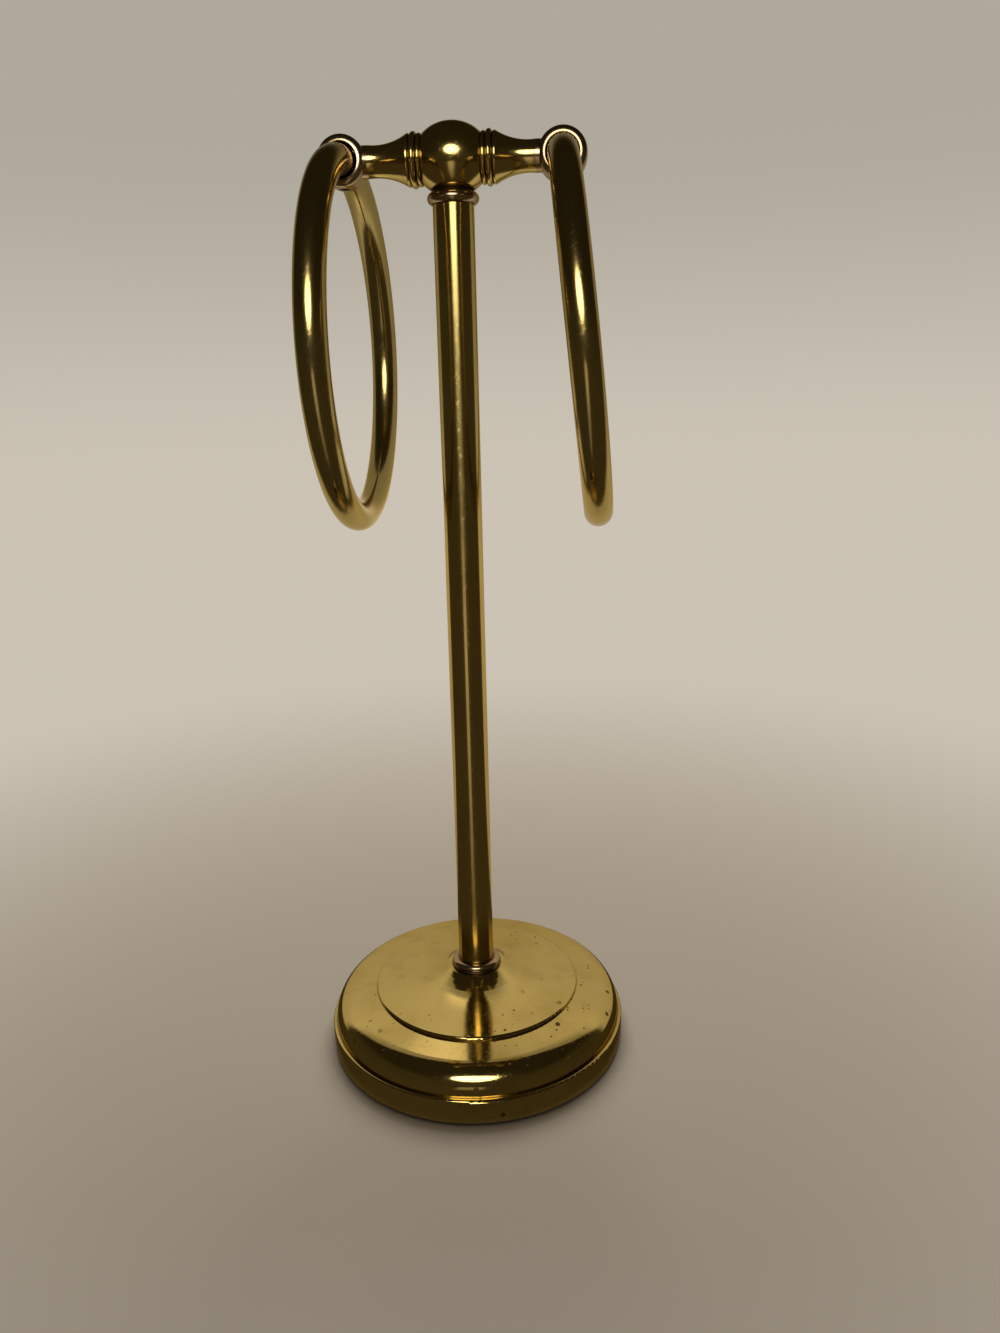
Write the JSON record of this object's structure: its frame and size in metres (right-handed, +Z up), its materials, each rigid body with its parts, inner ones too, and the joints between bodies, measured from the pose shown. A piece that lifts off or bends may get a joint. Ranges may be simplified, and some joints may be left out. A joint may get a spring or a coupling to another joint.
{
  "type": "towel ring stand",
  "caption": "Free-standing polished brass towel stand: round stepped weighted base, slim pole and turned cross-bar with a swinging ring at each end.",
  "frame": {"origin": "centre of the base on the underside of the felt, where the stand rests", "axes": "+Z up along the pole, +X along the cross-bar towards the right ring, -Y towards the front"},
  "size_m": [0.1362, 0.1452, 0.3921],
  "materials": {
    "base_brass": "polished, with small tarnish specks",
    "pole_brass": "polished",
    "turned_brass": "polished",
    "collar_brass": "polished, browned",
    "ring_brass": "polished",
    "pin_brass": "drawn",
    "zinc_steel": "zinc plated",
    "dark_steel": "oiled black",
    "cast_iron": "as cast",
    "felt": "dark wool felt"
  },
  "bodies": {
    "stand": {"base_shell": "base_brass", "base_weight": "cast_iron", "felt_pad": "felt", "flat_washer": "zinc_steel", "hub_ball": "turned_brass", "left_arm": "turned_brass", "left_arm_stud": "zinc_steel", "left_knuckle": "collar_brass", "left_set_screw": "dark_steel", "lock_washer": "zinc_steel", "lower_collar": "collar_brass", "pole_tube": "pole_brass", "right_arm": "turned_brass", "right_arm_stud": "zinc_steel", "right_knuckle": "collar_brass", "right_set_screw": "dark_steel", "rod_nut": "zinc_steel", "tie_rod": "zinc_steel", "upper_collar": "collar_brass"},
    "left_ring_body": {"left_ring": "ring_brass", "left_ring_pin": "pin_brass"},
    "right_ring_body": {"right_ring": "ring_brass", "right_ring_pin": "pin_brass"}
  },
  "joints": [
    {"name": "left_ring_swing", "type": "hinge", "parent": "stand", "child": "left_ring_body", "pos_m": [-0.0418, 0, 0.379], "axis": [0, 1, 0], "range_deg": [-12, 180]},
    {"name": "right_ring_swing", "type": "hinge", "parent": "stand", "child": "right_ring_body", "pos_m": [0.0418, 0, 0.379], "axis": [0, -1, 0], "range_deg": [-18, 174]}
  ]
}
